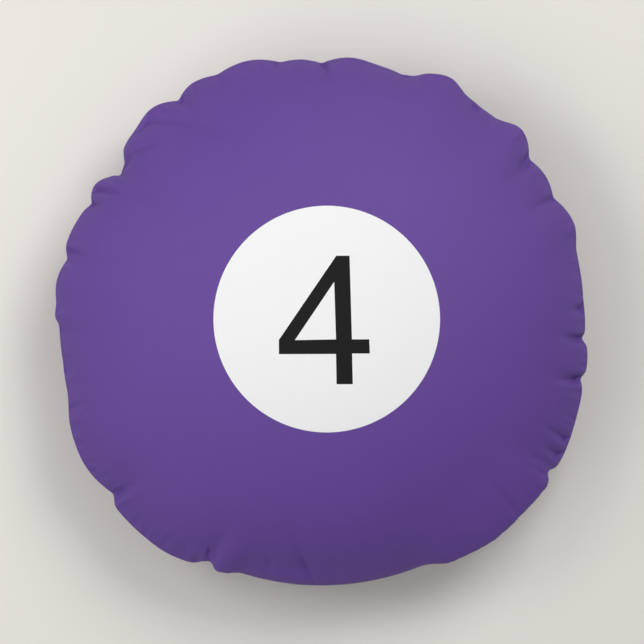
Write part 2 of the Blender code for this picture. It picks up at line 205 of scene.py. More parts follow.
class ScallopedCurve:
    """A closed curve of radius over bearing that never overshoots: round lobes between sharp puckers."""

    def __init__(self, points):
        points = sorted(points)
        bearings = np.array([point[0] for point in points], float)
        radii = np.array([point[1] for point in points], float) / 1000
        self.bearings = np.concatenate([bearings - 360, bearings, bearings + 360])
        self.radii = np.tile(radii, 3)
        widths = np.diff(self.bearings)
        rises = np.diff(self.radii) / widths
        self.arriving = np.zeros_like(self.radii)
        self.leaving = np.zeros_like(self.radii)
        for i in range(1, len(self.radii) - 1):
            if rises[i - 1] * rises[i] > 0:
                before = 2 * widths[i] + widths[i - 1]
                after = widths[i] + 2 * widths[i - 1]
                slope = (before + after) / (before / rises[i - 1] + after / rises[i])
                self.arriving[i] = self.leaving[i] = slope
            elif rises[i - 1] < 0 < rises[i]:
                self.arriving[i] = PUCKER_SHARPNESS * rises[i - 1]
                self.leaving[i] = PUCKER_SHARPNESS * rises[i]

    def __call__(self, bearing):
        turn = (np.asarray(bearing, float) + 180) % 360 - 180
        k = np.clip(np.searchsorted(self.bearings, turn) - 1, 0, len(self.bearings) - 2)
        width = self.bearings[k + 1] - self.bearings[k]
        s = (turn - self.bearings[k]) / width
        start = (1 + 2 * s) * (1 - s) ** 2 * self.radii[k] + s * (1 - s) ** 2 * width * self.leaving[k]
        end = s * s * (3 - 2 * s) * self.radii[k + 1] + s * s * (s - 1) * width * self.arriving[k + 1]
        return start + end


edge_radius = ScallopedCurve(EDGE_POINTS)


def zip_share(bearing):
    """1 along the zip, 0 away from it, with a short blend at both ends."""
    turn = (np.asarray(bearing, float) + 180) % 360 - 180
    from_start = (turn - ZIP_START + ZIP_BLEND) / ZIP_BLEND
    from_end = (ZIP_END + ZIP_BLEND - turn) / ZIP_BLEND
    return smooth(np.minimum(from_start, from_end))


def seam_radius(bearing):
    """The sewn line: round along the zip, and drawn in by the puckers elsewhere."""
    share = zip_share(bearing)
    return share * ZIP_LINE + (1 - share) * edge_radius(bearing)


def seam_gap(bearing):
    """Half the gap between the two cover panels at the seam, wider where the slider's neck runs."""
    return SEAM_GAP + (ZIP_GAP - SEAM_GAP) * zip_share(bearing)


def fold_depth(bearings, insets, side):
    """How deep the folds press the cloth in. On the back they slant the other way.

    They start at the rim, but the stiff tape keeps the cloth beside the zip clear of the slider.
    """
    start = smooth(insets / (FOLD_START + TAPE_STIFFNESS * zip_share(bearings)))
    total = np.zeros(len(bearings))
    for bearing, turn, seen_length, seen_width, seen_depth in FOLDS:
        length = FOLD_LENGTH_GAIN * seen_length + FOLD_LENGTH_EXTRA
        half_width = FOLD_WIDTH_GAIN * seen_width
        depth = FOLD_DEPTH_GAIN * seen_depth
        reach = length / 1000
        middle = bearing + side * turn * 100 * insets
        away = (bearings - middle + 180) % 360 - 180
        across = np.radians(away) * (RADIUS - insets) / (half_width / 1000)
        valley = (1 - FOLD_SHOULDER * across**2) * np.exp(-np.abs(across) ** FOLD_SHARPNESS)
        total += depth / 1000 * valley * (1 - smooth(insets / reach))
    places = polar(bearings, GATHER_PITCH_RADIUS)
    spots = zip(places[:, 0], places[:, 1], insets)
    gathers = np.array([noise.noise((x, y, inset * 25 + 7 * side)) for x, y, inset in spots])
    total += GATHER_DEPTH * gathers * (1 - smooth(insets / GATHER_REACH))
    return start * total


# ---- Objects and meshes ----


def new_object(name, points, faces, materials, body, replaced=()):
    """A smooth-shaded piece in the frame that rides on a body and stands for CAD nodes."""
    mesh = bpy.data.meshes.new(name)
    mesh.from_pydata([tuple(point) for point in points], [], [tuple(face) for face in faces])
    mesh.shade_smooth()
    for finish in materials:
        mesh.materials.append(finish)
    obj = bpy.data.objects.new(name, mesh)
    SCENE.collection.objects.link(obj)
    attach(obj, body)
    if replaced:
        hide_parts(*replaced)
    return obj


def set_uv(obj, point_uv):
    """Stores a flat cloth coordinate for every point, in metres, as the UV map named cloth."""
    layer = obj.data.uv_layers.new(name="cloth")
    corners = np.zeros(len(obj.data.loops), np.int32)
    obj.data.loops.foreach_get("vertex_index", corners)
    layer.data.foreach_set("uv", np.asarray(point_uv, np.float32)[corners].ravel())


def apply_modifiers(obj):
    """The object's mesh becomes its evaluated mesh, with no modifier left on it."""
    graph = bpy.context.evaluated_depsgraph_get()
    made = bpy.data.meshes.new_from_object(obj.evaluated_get(graph), depsgraph=graph)
    obj.modifiers.clear()
    old = obj.data
    name = old.name
    obj.data = made
    bpy.data.meshes.remove(old)
    made.name = name


def subdivide(obj):
    """Subdivides a sheet or a body once and keeps the result."""
    subdivision = obj.modifiers.new("subdivision", "SUBSURF")
    subdivision.levels = 1
    subdivision.render_levels = 1
    apply_modifiers(obj)


def thicken(obj, thickness):
    """Gives a sheet its cloth's thickness, on the side away from its normals."""
    solid = obj.modifiers.new("cloth", "SOLIDIFY")
    solid.thickness = thickness
    solid.offset = -1
    apply_modifiers(obj)


def tubes(paths, sides, radius, axis):
    """Closed round tubes along paths. The axis function gives a direction across each path's points."""
    points, faces, coords = [], [], []
    turns = 2 * np.pi * np.arange(sides) / sides
    for path in paths:
        path = np.asarray(path, float)
        along = unit(np.gradient(path, axis=0))
        first = unit(np.cross(along, axis(path)))
        second = np.cross(along, first)
        spokes = np.cos(turns)[None, :, None] * first[:, None]
        spokes = spokes + np.sin(turns)[None, :, None] * second[:, None]
        base = len(points)
        points.extend((path[:, None] + radius * spokes).reshape(-1, 3))
        run = np.concatenate([[0], np.cumsum(np.linalg.norm(np.diff(path, axis=0), axis=1))])
        coords.extend((distance, side * radius) for distance in run for side in range(sides))
        for i in range(len(path) - 1):
            this = base + i * sides
            after = this + sides
            for j in range(sides):
                k = (j + 1) % sides
                faces.append((this + j, this + k, after + k, after + j))
        faces.append(tuple(base + j for j in reversed(range(sides))))
        faces.append(tuple(base + (len(path) - 1) * sides + j for j in range(sides)))
    return points, faces, coords


def around(path):
    """The direction round the vertical axis at each point, which is the axis of coils and loops."""
    return unit(np.column_stack((-path[:, 1], path[:, 0], np.zeros(len(path)))))


def upwards(path):
    return np.tile((0.0, 0.0, 1.0), (len(path), 1))


def consistent(obj):
    """Turns every closed body's faces outwards."""
    bm = bmesh.new()
    bm.from_mesh(obj.data)
    bmesh.ops.recalc_face_normals(bm, faces=bm.faces)
    bm.to_mesh(obj.data)
    bm.free()


# ---- Materials ----


class Finish:
    """A Principled material whose colour, roughness and bump come from a small node graph."""

    def __init__(self, name, roughness, metallic=0.0):
        self.material = bpy.data.materials.new(name)
        self.material.use_nodes = True
        self.tree = self.material.node_tree
        self.shader = self.tree.nodes["Principled BSDF"]
        self.shader.inputs["Roughness"].default_value = roughness
        self.shader.inputs["Metallic"].default_value = metallic

    def node(self, kind, **inputs):
        made = self.tree.nodes.new(kind)
        for key, value in inputs.items():
            self.put(made.inputs[key.replace("_", " ")], value)
        return made

    def put(self, socket, value):
        if isinstance(value, bpy.types.NodeSocket):
            self.tree.links.new(value, socket)
        else:
            socket.default_value = value

    def calc(self, operation, first, second=0.0, third=0.0):
        made = self.tree.nodes.new("ShaderNodeMath")
        made.operation = operation
        for socket, value in zip(made.inputs, (first, second, third)):
            self.put(socket, value)
        return made.outputs[0]

    def mix(self, share, first, second):
        """A float or colour mix, chosen by the kind of its inputs."""
        made = self.tree.nodes.new("ShaderNodeMix")
        coloured = isinstance(first, tuple)
        made.data_type = "RGBA" if coloured else "FLOAT"
        names = (6, 7, 2) if coloured else (2, 3, 0)
        self.put(made.inputs[0], share)
        self.put(made.inputs[names[0]], (*first, 1.0) if coloured else first)
        self.put(made.inputs[names[1]], (*second, 1.0) if coloured else second)
        return made.outputs[names[2]]

    def cloth_uv(self):
        """The flat cloth coordinate along and across the threads."""
        place = self.tree.nodes.new("ShaderNodeUVMap")
        place.uv_map = "cloth"
        split = self.node("ShaderNodeSeparateXYZ", Vector=place.outputs["UV"])
        return place.outputs["UV"], split.outputs["X"], split.outputs["Y"]

    def noise(self, scale, detail=3.0, stretch=(1.0, 1.0, 1.0), place=None):
        mapping = self.tree.nodes.new("ShaderNodeMapping")
        mapping.inputs["Scale"].default_value = stretch
        if place is None:
            place = self.tree.nodes.new("ShaderNodeTexCoord").outputs["Object"]
        self.put(mapping.inputs["Vector"], place)
        made = self.node("ShaderNodeTexNoise", Vector=mapping.outputs["Vector"], Scale=scale, Detail=detail)
        return made.outputs["Fac"]

    def bump(self, height, distance, strength=1.0, below=None):
        made = self.node("ShaderNodeBump", Height=height, Distance=distance, Strength=strength)
        if below is not None:
            self.put(made.inputs["Normal"], below)
        return made.outputs["Normal"]

    def colour(self, value):
        self.put(self.shader.inputs["Base Color"], value)

    def normal(self, value):
        self.put(self.shader.inputs["Normal"], value)


def darker(colour, share):
    return tuple(share * part for part in colour)


def plain_weave(finish, pitch):
    """Height of a plain weave: square cells where the warp and the weft take turns on top."""
    uv, along, across = finish.cloth_uv()
    warp = finish.calc("ABSOLUTE", finish.calc("SINE", finish.calc("MULTIPLY", along, math.pi / pitch)))
    weft = finish.calc("ABSOLUTE", finish.calc("SINE", finish.calc("MULTIPLY", across, math.pi / pitch)))
    checker = finish.node("ShaderNodeTexChecker", Vector=uv, Scale=1 / pitch)
    over = finish.calc("MULTIPLY", warp, finish.calc("MULTIPLY_ADD", weft, 0.45, 0.55))
    under = finish.calc("MULTIPLY", weft, finish.calc("MULTIPLY_ADD", warp, 0.45, 0.55))
    return finish.mix(checker.outputs["Fac"], over, under), uv


def woven(name, colour, pitch=0.0006, depth=0.00009, roughness=0.58, sheen=0.03, slub_and_shade=0.16,
          gloss=CLOTH_GLOSS):
    """Plain woven cloth with slightly uneven threads, a soft mottle, painted shade between the threads and a
    short-fibre sheen.
    """
    finish = Finish(name, roughness)
    weave, uv = plain_weave(finish, pitch)
    warp_slub = finish.noise(1.0, 2.0, (1 / pitch, 30.0, 1.0), uv)
    weft_slub = finish.noise(1.0, 2.0, (30.0, 1 / pitch, 1.0), uv)
    mottle = finish.noise(14.0, 3.0)
    threads = finish.calc("ADD", warp_slub, weft_slub)
    tone = finish.calc("MULTIPLY", threads, 0.35)
    # The weave's height also darkens the colour between the threads: painted shade.
    tone = finish.calc("ADD", tone, finish.calc("MULTIPLY", weave, 0.30))
    tone = finish.calc("ADD", tone, finish.calc("MULTIPLY", mottle, 0.35))
    finish.colour(finish.mix(tone, darker(colour, 1 - slub_and_shade), darker(colour, 1 + slub_and_shade)))
    grain = finish.bump(threads, depth * 0.6)
    finish.normal(finish.bump(weave, depth, 0.8, grain))
    finish.shader.inputs["Sheen Weight"].default_value = sheen
    finish.shader.inputs["Sheen Roughness"].default_value = 0.5
    finish.shader.inputs["Specular IOR Level"].default_value = gloss
    finish.shader.inputs["Sheen Tint"].default_value = (0.80, 0.74, 0.95, 1.0)
    return finish.material


def twisted(name, colour, pitch=0.0009):
    """Spun thread: slanting plies with painted shade darkening the grooves between them, and a little fuzz.
    """
    finish = Finish(name, 0.7)
    _, along, across = finish.cloth_uv()
    turning = finish.calc("MULTIPLY", along, 2 * math.pi / pitch)
    slant = finish.calc("ADD", turning, finish.calc("MULTIPLY", across, 2500))
    ply = finish.calc("ABSOLUTE", finish.calc("SINE", slant))
    fuzz = finish.noise(3000.0, 2.0)
    # The plies' height darkens the colour in the grooves between them: painted shade.
    tone = finish.calc("ADD", finish.calc("MULTIPLY", ply, 0.7), finish.calc("MULTIPLY", fuzz, 0.3))
    finish.colour(finish.mix(tone, darker(colour, 0.7), darker(colour, 1.25)))
    finish.normal(finish.bump(ply, 0.00008))
    finish.shader.inputs["Sheen Weight"].default_value = 0.15
    return finish.material


def satin(name, colour, pitch=0.00035):
    """Woven satin ribbon: long floats one way, so it shines in bands."""
    finish = Finish(name, 0.42)
    uv, _, across = finish.cloth_uv()
    floats = finish.calc("ABSOLUTE", finish.calc("SINE", finish.calc("MULTIPLY", across, math.pi / pitch)))
    ties = finish.noise(1.0, 1.0, (900.0, 2800.0, 1.0), uv)
    # Lighter colour along the floats is painted sheen; the ties add tone that differs at random.
    tone = finish.calc("ADD", finish.calc("MULTIPLY", floats, 0.5), finish.calc("MULTIPLY", ties, 0.5))
    finish.colour(finish.mix(tone, darker(colour, 0.90), darker(colour, 1.04)))
    finish.normal(finish.bump(tone, 0.00004))
    finish.shader.inputs["Anisotropic"].default_value = 0.4
    return finish.material


def nonwoven(name, colour):
    """Spunbond sheet: bonded points in a fine grid over a mat of fibres."""
    finish = Finish(name, 0.9)
    uv = finish.cloth_uv()[0]
    bonds = finish.node("ShaderNodeTexVoronoi", Vector=uv, Scale=900.0, Randomness=0.25)
    dimple = finish.calc("MINIMUM", bonds.outputs["Distance"], 0.4)
    fibres = finish.noise(2200.0, 4.0)
    clouds = finish.noise(45.0, 4.0)
    tone = finish.calc("ADD", finish.calc("MULTIPLY", clouds, 0.6), dimple)
    finish.colour(finish.mix(tone, darker(colour, 0.90), darker(colour, 1.05)))
    finish.normal(finish.bump(dimple, 0.0001, 1.0, finish.bump(fibres, 0.00008)))
    return finish.material


def fibres(name, colour):
    """Loose polyester fibre: tangled fine strands over soft tufts."""
    finish = Finish(name, 1.0)
    strands = finish.noise(260.0, 6.0, (1.0, 4.0, 1.0))
    crossing = finish.noise(260.0, 6.0, (4.0, 1.0, 1.0))
    tufts = finish.noise(40.0, 4.0)
    tangle = finish.calc("ADD", strands, crossing)
    tone = finish.calc("ADD", finish.calc("MULTIPLY", tangle, 0.4), finish.calc("MULTIPLY", tufts, 0.4))
    finish.colour(finish.mix(tone, darker(colour, 0.84), darker(colour, 1.08)))
    finish.normal(finish.bump(tangle, 0.0008))
    finish.shader.inputs["Sheen Weight"].default_value = 0.3
    return finish.material


def nylon(name, colour):
    finish = Finish(name, 0.35)
    haze = finish.noise(700.0, 3.0)
    finish.colour(finish.mix(haze, darker(colour, 0.8), darker(colour, 1.3)))
    finish.put(finish.shader.inputs["Roughness"], finish.mix(haze, 0.28, 0.45))
    finish.normal(finish.bump(haze, 0.00002))
    return finish.material


def enamel(name, colour):
    """Coloured enamel over a zinc casting, rubbed lighter and rougher in patches."""
    finish = Finish(name, 0.3, 0.35)
    orange_peel = finish.noise(1800.0, 2.0)
    rubbing = finish.noise(260.0, 5.0)
    finish.colour(finish.mix(rubbing, darker(colour, 0.85), darker(colour, 1.6)))
    finish.put(finish.shader.inputs["Roughness"], finish.mix(rubbing, 0.22, 0.42))
    finish.normal(finish.bump(orange_peel, 0.00003))
    finish.shader.inputs["Coat Weight"].default_value = 0.4
    finish.shader.inputs["Coat Roughness"].default_value = 0.15
    return finish.material


def brushed(name, colour):
    finish = Finish(name, 0.35, 1.0)
    lines = finish.noise(600.0, 3.0, (1.0, 1.0, 14.0))
    finish.colour(finish.mix(lines, darker(colour, 0.85), darker(colour, 1.15)))
    finish.put(finish.shader.inputs["Roughness"], finish.mix(lines, 0.28, 0.48))
    finish.normal(finish.bump(lines, 0.00003))
    return finish.material


# ---- Flat cloth and its print ----


def stepped(outline, step):
    """The closed outline with extra points, so that none is further than a step from the next."""
    points = []
    for i, start in enumerate(outline):
        start = Vector(start)
        end = Vector(outline[(i + 1) % len(outline)])
        count = max(1, math.ceil((end - start).length / step))
        points.extend(start.lerp(end, k / count) for k in range(count))
    return points


def circle(centre, radius, count):
    flat = polar(360 * np.arange(count) / count, radius) + np.array(centre)
    return [Vector(point) for point in flat]


def cloth_layout(loops):
    """Even triangles inside a band of fine rings, with edges along every loop. The first loop is the rim."""
    points, edges = [], []
    for loop in loops:
        start = len(points)
        points.extend(loop)
        edges.extend((start + i, start + (i + 1) % len(loop)) for i in range(len(loop)))
    for number in range(1, BAND_RINGS + 1):
        bearings = 360 / RIM_POINTS * (np.arange(RIM_POINTS) + 0.5 * (number % 2))
        points.extend(Vector(point) for point in polar(bearings, CUT - number * BAND_STEP))
    taken = np.array([tuple(point) for point in points])
    inner = CUT - BAND_RINGS * BAND_STEP
    row = CELL * math.sqrt(3) / 2
    reach = int(CUT / row) + 2
    for j in range(-reach, reach + 1):
        for i in range(-reach, reach + 1):
            point = Vector((CELL * (i + 0.5 * (j % 2)), row * j))
            clear = np.hypot(taken[:, 0] - point.x, taken[:, 1] - point.y).min() > 0.55 * CELL
            if point.length < inner and clear:
                points.append(point)
    found, _, triangles, *_ = delaunay_2d_cdt(points, edges, [], 0, 1e-6)
    return np.array([tuple(point) for point in found]), np.array(triangles), edges[RIM_POINTS:]


def within(points, outline):
    """Which points lie inside a closed outline, by counting crossings."""
    inside = np.zeros(len(points), bool)
    for i, (x1, y1) in enumerate(outline):
        x2, y2 = outline[(i + 1) % len(outline)]
        spans = (y1 > points[:, 1]) != (y2 > points[:, 1])
        if y1 != y2:
            crossing = x1 + (points[:, 1] - y1) * (x2 - x1) / (y2 - y1)
            inside ^= spans & (points[:, 0] < crossing)
    return inside


def print_index(centres):
    """0 for purple, 1 for the white disc and 2 for the numeral, at each triangle's middle."""
    disc = np.hypot(centres[:, 0] - DISC_CENTRE[0], centres[:, 1] - DISC_CENTRE[1]) < DISC_RADIUS
    numeral = within(centres, NUMERAL) & ~within(centres, NUMERAL_HOLE)
    return disc.astype(int) + numeral.astype(int)


# ---- Inflated cover panels ----


def crown(share):
    return (1 - share**CROWN_POWER) ** EDGE_POWER


def stuffed_start(flat, rim_radius):
    """Plain stuffed shape of the flat cloth: place across and height from the seam plane."""
    shares = np.linspace(0, 1, 2001)
    profile = np.column_stack((RADIUS * shares, RISE * crown(shares)))
    arc = np.concatenate([[0], np.cumsum(np.linalg.norm(np.diff(profile, axis=0), axis=1))])
    bearings = np.degrees(np.arctan2(flat[:, 1], flat[:, 0]))
    share = np.interp(np.hypot(flat[:, 0], flat[:, 1]) / CUT, arc / arc[-1], shares)
    outer = RADIUS + (rim_radius(bearings) - RADIUS) * share**EDGE_REACH
    height = RISE * crown(share)
    height[:RIM_POINTS] = 0
    return np.column_stack((polar(bearings, share * outer), height))


def cloth_modifier(obj, rest_key):
    cloth = obj.modifiers.new("cloth", "CLOTH")
    settings = cloth.settings
    settings.rest_shape_key = rest_key
    settings.vertex_group_mass = "seam"
    settings.quality = 6
    settings.mass = 0.002
    settings.tension_stiffness = 80
    settings.compression_stiffness = 80
    settings.shear_stiffness = 10
    settings.bending_stiffness = 0.3
    settings.tension_damping = 2
    settings.compression_damping = 2
    settings.air_damping = 2
    settings.use_pressure = True
    settings.uniform_pressure_force = 300
    settings.effector_weights.gravity = 0
    cloth.collision_settings.use_collision = False
    return cloth


def inflate(flat, start, triangles, frames=40):
    """Cloth simulation of one panel: cut flat, held at its rim, and blown up by its stuffing."""
    mesh = bpy.data.meshes.new("inflating")
    mesh.from_pydata(start.tolist(), [], triangles.tolist())
    obj = bpy.data.objects.new("inflating", mesh)
    SCENE.collection.objects.link(obj)
    obj.shape_key_add(name="stuffed")
    flat_key = obj.shape_key_add(name="flat_cut")
    cut = np.column_stack((flat, np.zeros(len(flat))))
    flat_key.data.foreach_set("co", cut.ravel())
    flat_key.value = 0
    obj.vertex_groups.new(name="seam").add(list(range(RIM_POINTS)), 1.0, "REPLACE")
    cloth = cloth_modifier(obj, flat_key)
    cloth.point_cache.frame_start = 1
    cloth.point_cache.frame_end = frames
    for number in range(1, frames + 1):
        SCENE.frame_set(number)
    graph = bpy.context.evaluated_depsgraph_get()
    result = obj.evaluated_get(graph).to_mesh()
    points = np.zeros(len(result.vertices) * 3)
    result.vertices.foreach_get("co", points)
    bpy.data.objects.remove(obj, do_unlink=True)
    SCENE.frame_set(1)
    return points.reshape(-1, 3)


def capped(points, start):
    """Limits how far the simulation may have moved each point from the plain stuffed shape."""
    moved = points - start
    distance = np.maximum(np.linalg.norm(moved, axis=1, keepdims=True), 1e-9)
    return start + moved * np.minimum(1.0, MOVE_CAP / distance)


def tucked(flat, points):
    """Along the zip the front cloth rolls over its own edge: bulged out above and drawn in at the seam."""
    bearings = np.degrees(np.arctan2(flat[:, 1], flat[:, 0]))
    inset = CUT - np.hypot(flat[:, 0], flat[:, 1])
    over = zip_share(bearings) * (edge_radius(bearings) - ZIP_LINE)
    fullness = smooth(over / ROLL_FULL)
    near = np.abs(inset - ROLL_INSET) < CELL
    radii = np.hypot(points[:, 0], points[:, 1])
    slack = np.median((edge_radius(bearings) - radii)[near])
    pulled_in = 1 - smooth(inset / ROLL_INSET)
    held_out = 1 - smooth((inset - ROOM_FULL) / ROOM_FADE)
    drawn = -over * np.where(over > 0, pulled_in, held_out)
    rising = smooth(inset / ROLL_INSET)
    falling = 1 - smooth((inset - ROLL_INSET) / ROLL_REACH)
    rolled = np.where(inset < ROLL_INSET, rising, falling)
    outwards = unit(np.column_stack((points[:, :2], np.zeros(len(points)))))
    moved = points + outwards * (drawn + fullness * (slack + ROLL_EXTRA) * rolled)[:, None]
    moved[:, 2] += ROLL_LIFT * fullness * rolled
    return moved


def eased(flat, points):
    """Along the zip the slider holds both cloths a little further out, just beside the seam."""
    bearings = np.degrees(np.arctan2(flat[:, 1], flat[:, 0]))
    inset = CUT - np.hypot(flat[:, 0], flat[:, 1])
    held = smooth(inset / ROOM_START) * (1 - smooth((inset - ROOM_FULL) / ROOM_FADE))
    outwards = unit(np.column_stack((points[:, :2], np.zeros(len(points)))))
    return points + outwards * (SLIDER_ROOM * zip_share(bearings) * held)[:, None]


def rested(heights):
    """Presses the lowest cloth flat on what it rests on, with a soft turn at the patch's edge."""
    above = SEAM - heights
    soft = (above + np.sqrt(above**2 + REST_BLEND**2)) / 2
    return SEAM - (soft - soft.min())


class Skin:
    """An inflated panel. It gives the place and outward direction at any spot of its flat cloth."""

    def __init__(self, side, loops, rim_radius):
        self.side = side
        self.flat, triangles, self.print_edges = cloth_layout(loops)
        start = stuffed_start(self.flat, rim_radius)
        shape = capped(inflate(self.flat, start, triangles), start)
        shape = eased(self.flat, shape)
        if side > 0:
            shape = tucked(self.flat, shape)
            shape[:, 2] *= RISE / shape[:, 2].max()
        else:
            shape[:, 2] = rested(shape[:, 2])
        bearings = np.degrees(np.arctan2(self.flat[:, 1], self.flat[:, 0]))
        lift = seam_gap(bearings) + 0.00035
        self.points = np.column_stack((shape[:, :2], SEAM + side * np.maximum(shape[:, 2], lift)))
        self.triangles = triangles if side > 0 else triangles[:, ::-1]
        self.normals = self.vertex_normals()
        flat_points = [(x, y, 0.0) for x, y in self.flat]
        self.tree = BVHTree.FromPolygons(flat_points, self.triangles.tolist())

    def vertex_normals(self):
        a, b, c = (self.points[self.triangles[:, i]] for i in range(3))
        faces = np.cross(b - a, c - a)
        normals = np.zeros_like(self.points)
        for i in range(3):
            np.add.at(normals, self.triangles[:, i], faces)
        return unit(normals)

    def at(self, bearings, insets, depths=0.0):
        """Places on or under the skin, for arrays of bearings and insets."""
        bearings, insets = np.broadcast_arrays(np.asarray(bearings, float), np.asarray(insets, float))
        spots = polar(bearings.ravel(), CUT - insets.ravel())
        faces = [self.tree.find_nearest((x, y, 0.0))[2] for x, y in spots]
        corners = self.triangles[faces]
        a, b, c = (self.flat[corners[:, i]] for i in range(3))
        u, v, w = b - a, c - a, spots - a
        area = u[:, 0] * v[:, 1] - u[:, 1] * v[:, 0]
        second = (w[:, 0] * v[:, 1] - w[:, 1] * v[:, 0]) / area
        third = (u[:, 0] * w[:, 1] - u[:, 1] * w[:, 0]) / area
        weights = np.column_stack((1 - second - third, second, third))[:, :, None]
        place = (self.points[corners] * weights).sum(axis=1)
        normal = unit((self.normals[corners] * weights).sum(axis=1))
        depth = np.broadcast_to(np.asarray(depths, float), bearings.shape).ravel()
        depth = depth + fold_depth(bearings.ravel(), insets.ravel(), self.side)
        return place - normal * depth[:, None]


def ring(bearings, radii, heights, side):
    return np.column_stack((polar(bearings, radii), SEAM + side * heights))


def panel_mesh(skin):
    """The skin, its fold at the seam, and the allowance turned in behind it, as one sheet."""
    bearings = 360 * np.arange(RIM_POINTS) / RIM_POINTS
    rim = seam_radius(bearings)
    gap = seam_gap(bearings)
    insets = (0.0025, 0.0060, ALLOWANCE)
    rings = [ring(bearings, rim - 0.0006, gap, skin.side)]
    rings.append(ring(bearings, rim - 0.0013, gap + 0.0005, skin.side))
    rings += [skin.at(bearings, inset, ALLOWANCE_DEPTH) for inset in insets]
    beyond = (0.0008, 0.0016) + tuple(0.0016 + inset for inset in insets)
    points = np.concatenate([skin.points, *rings])
    coords = np.concatenate([skin.flat, *(polar(bearings, CUT + extra) for extra in beyond)])
    faces = [tuple(triangle) for triangle in skin.triangles]
    before = np.arange(RIM_POINTS)
    for number in range(len(rings)):
        after = len(skin.points) + number * RIM_POINTS + np.arange(RIM_POINTS)
        for k in range(RIM_POINTS):
            n = (k + 1) % RIM_POINTS
            quad = (before[n], before[k], after[k], after[n])
            faces.append(quad if skin.side > 0 else quad[::-1])
        before = after
    return points, coords, faces


def crease_print(obj, edges):
    """Keeps the print's outlines and corners sharp when the cloth is subdivided."""
    wanted = {tuple(sorted(edge)) for edge in edges}
    creases = obj.data.attributes.new("crease_edge", "FLOAT", "EDGE")
    directions = {}
    for edge in obj.data.edges:
        if tuple(sorted(edge.vertices)) in wanted:
            creases.data[edge.index].value = 1.0
            first, second = (obj.data.vertices[i].co for i in edge.vertices)
            for vertex in edge.vertices:
                directions.setdefault(vertex, []).append((second - first).normalized())
    corners = obj.data.attributes.new("crease_vert", "FLOAT", "POINT")
    for vertex, (first, second) in directions.items():
        if abs(first.dot(second)) < CORNER_COSINE:
            corners.data[vertex].value = 1.0


def press_folds(obj, side):
    """Moves the subdivided cloth in along its folds, and its allowance with it."""
    mesh = obj.data
    corners = np.zeros(len(mesh.loops), np.int32)
    mesh.loops.foreach_get("vertex_index", corners)
    coords = np.zeros(2 * len(mesh.loops))
    mesh.uv_layers["cloth"].data.foreach_get("uv", coords)
    flat = np.zeros((len(mesh.vertices), 2))
    flat[corners] = coords.reshape(-1, 2)
    places = np.zeros(3 * len(mesh.vertices))
    mesh.vertices.foreach_get("co", places)
    normals = np.zeros(3 * len(mesh.vertices))
    mesh.vertices.foreach_get("normal", normals)
    radii = np.hypot(flat[:, 0], flat[:, 1])
    bearings = np.degrees(np.arctan2(flat[:, 1], flat[:, 0]))
    depth = np.where(radii > CUT, 0.0, fold_depth(bearings, np.abs(CUT - radii), side))
    moved = places.reshape(-1, 3) - normals.reshape(-1, 3) * depth[:, None]
    mesh.vertices.foreach_set("co", moved.ravel())
    mesh.update()


def make_panel(name, node, skin, finishes):
    points, coords, faces = panel_mesh(skin)
    obj = new_object(name, points, faces, finishes, "cushion", [node])
    set_uv(obj, coords)
    if skin.print_edges:
        centres = skin.flat[skin.triangles].mean(axis=1)
        for face, index in zip(obj.data.polygons, print_index(centres)):
            face.material_index = int(index)
        crease_print(obj, skin.print_edges)
    subdivide(obj)
    press_folds(obj, skin.side)
    thicken(obj, CLOTH)
    return obj


# ---- Threads ----


def stitch_paths(bearings, place, length, arch):
    """One short arched stitch at each bearing. Place gives a point for arrays of bearings and depths."""
    steps = np.linspace(-0.5, 0.5, 5)
    half_turn = np.degrees(length / RADIUS)
    rise = arch * np.cos(np.pi * steps)
    return [place(bearing + steps * half_turn, rise) for bearing in bearings]


def thread_piece(name, node, paths, radius, axis, finish, sides=5):
    points, faces, coords = tubes(paths, sides, radius, axis)
    obj = new_object(name, points, faces, [finish], "cushion", [node])
    set_uv(obj, coords)
    consistent(obj)
    return obj


def make_edge_seam(finish):
    """The lockstitch in the groove between the two panels, round from the zip's end to its start."""
    pitch = math.degrees(EDGE_STITCH_PITCH / RADIUS)
    bearings = np.arange(ZIP_END + 6, ZIP_START - 6 + 360, pitch)

    def place(turns, rise):
        return ring(turns, seam_radius(turns) - EDGE_STITCH_INSET + rise, np.zeros(len(turns)), 1)

    paths = stitch_paths(bearings, place, 0.0025, 0.0006)
    name = "edge_seam_stitches"
    thread_piece(name, "edge_seam_thread", paths, SEWING_THREAD, upwards, finish)


def make_overlock(skin, name, node, finish):
    """Looped overcast that wraps the allowance's raw edge, all the way round."""
    pitch = math.degrees(OVERLOCK_PITCH / RADIUS)
    count = int(360 / pitch)
    turns = np.arange(count * 10 + 1) / 10
    bearings = 360 * turns / count
    phase = 2 * np.pi * turns
    insets = ALLOWANCE - 0.0012 + 0.0018 * np.cos(phase)
    depths = ALLOWANCE_DEPTH - CLOTH / 2 + 0.00055 * np.sin(phase)
    path = skin.at(bearings, insets, depths)
    thread_piece(name, node, [path], FINE_THREAD, around, finish)


def make_tape_stitches(skin, name, node, finish):
    pitch = math.degrees(TAPE_STITCH_PITCH / COIL_RADIUS)
    bearings = np.arange(ZIP_START + 1, ZIP_END - 1, pitch)

    def place(turns, rise):
        return skin.at(turns, TAPE_STITCH_INSET, TAPE_DEPTH + TAPE_STITCH_SINK + rise)

    paths = stitch_paths(bearings, place, 0.0022, 0.0002)
    thread_piece(name, node, paths, FINE_THREAD, upwards, finish)


# ---- Zip ----


def strip(name, node, rows, coords, finish, thickness):
    """A thin ribbon from rows of points, with its thickness on one side."""
    count = len(rows[0])
    faces = []
    for r in range(len(rows) - 1):
        for k in range(count - 1):
            faces.append((r * count + k, r * count + k + 1, (r + 1) * count + k + 1, (r + 1) * count + k))
    obj = new_object(name, np.concatenate(rows), faces, [finish], "cushion", [node])
    set_uv(obj, np.concatenate(coords))
    subdivide(obj)
    thicken(obj, thickness)
    return obj


def ribbon_coords(bearings, across, radius):
    return [np.column_stack((np.radians(bearings) * radius, np.full(len(bearings), a))) for a in across]


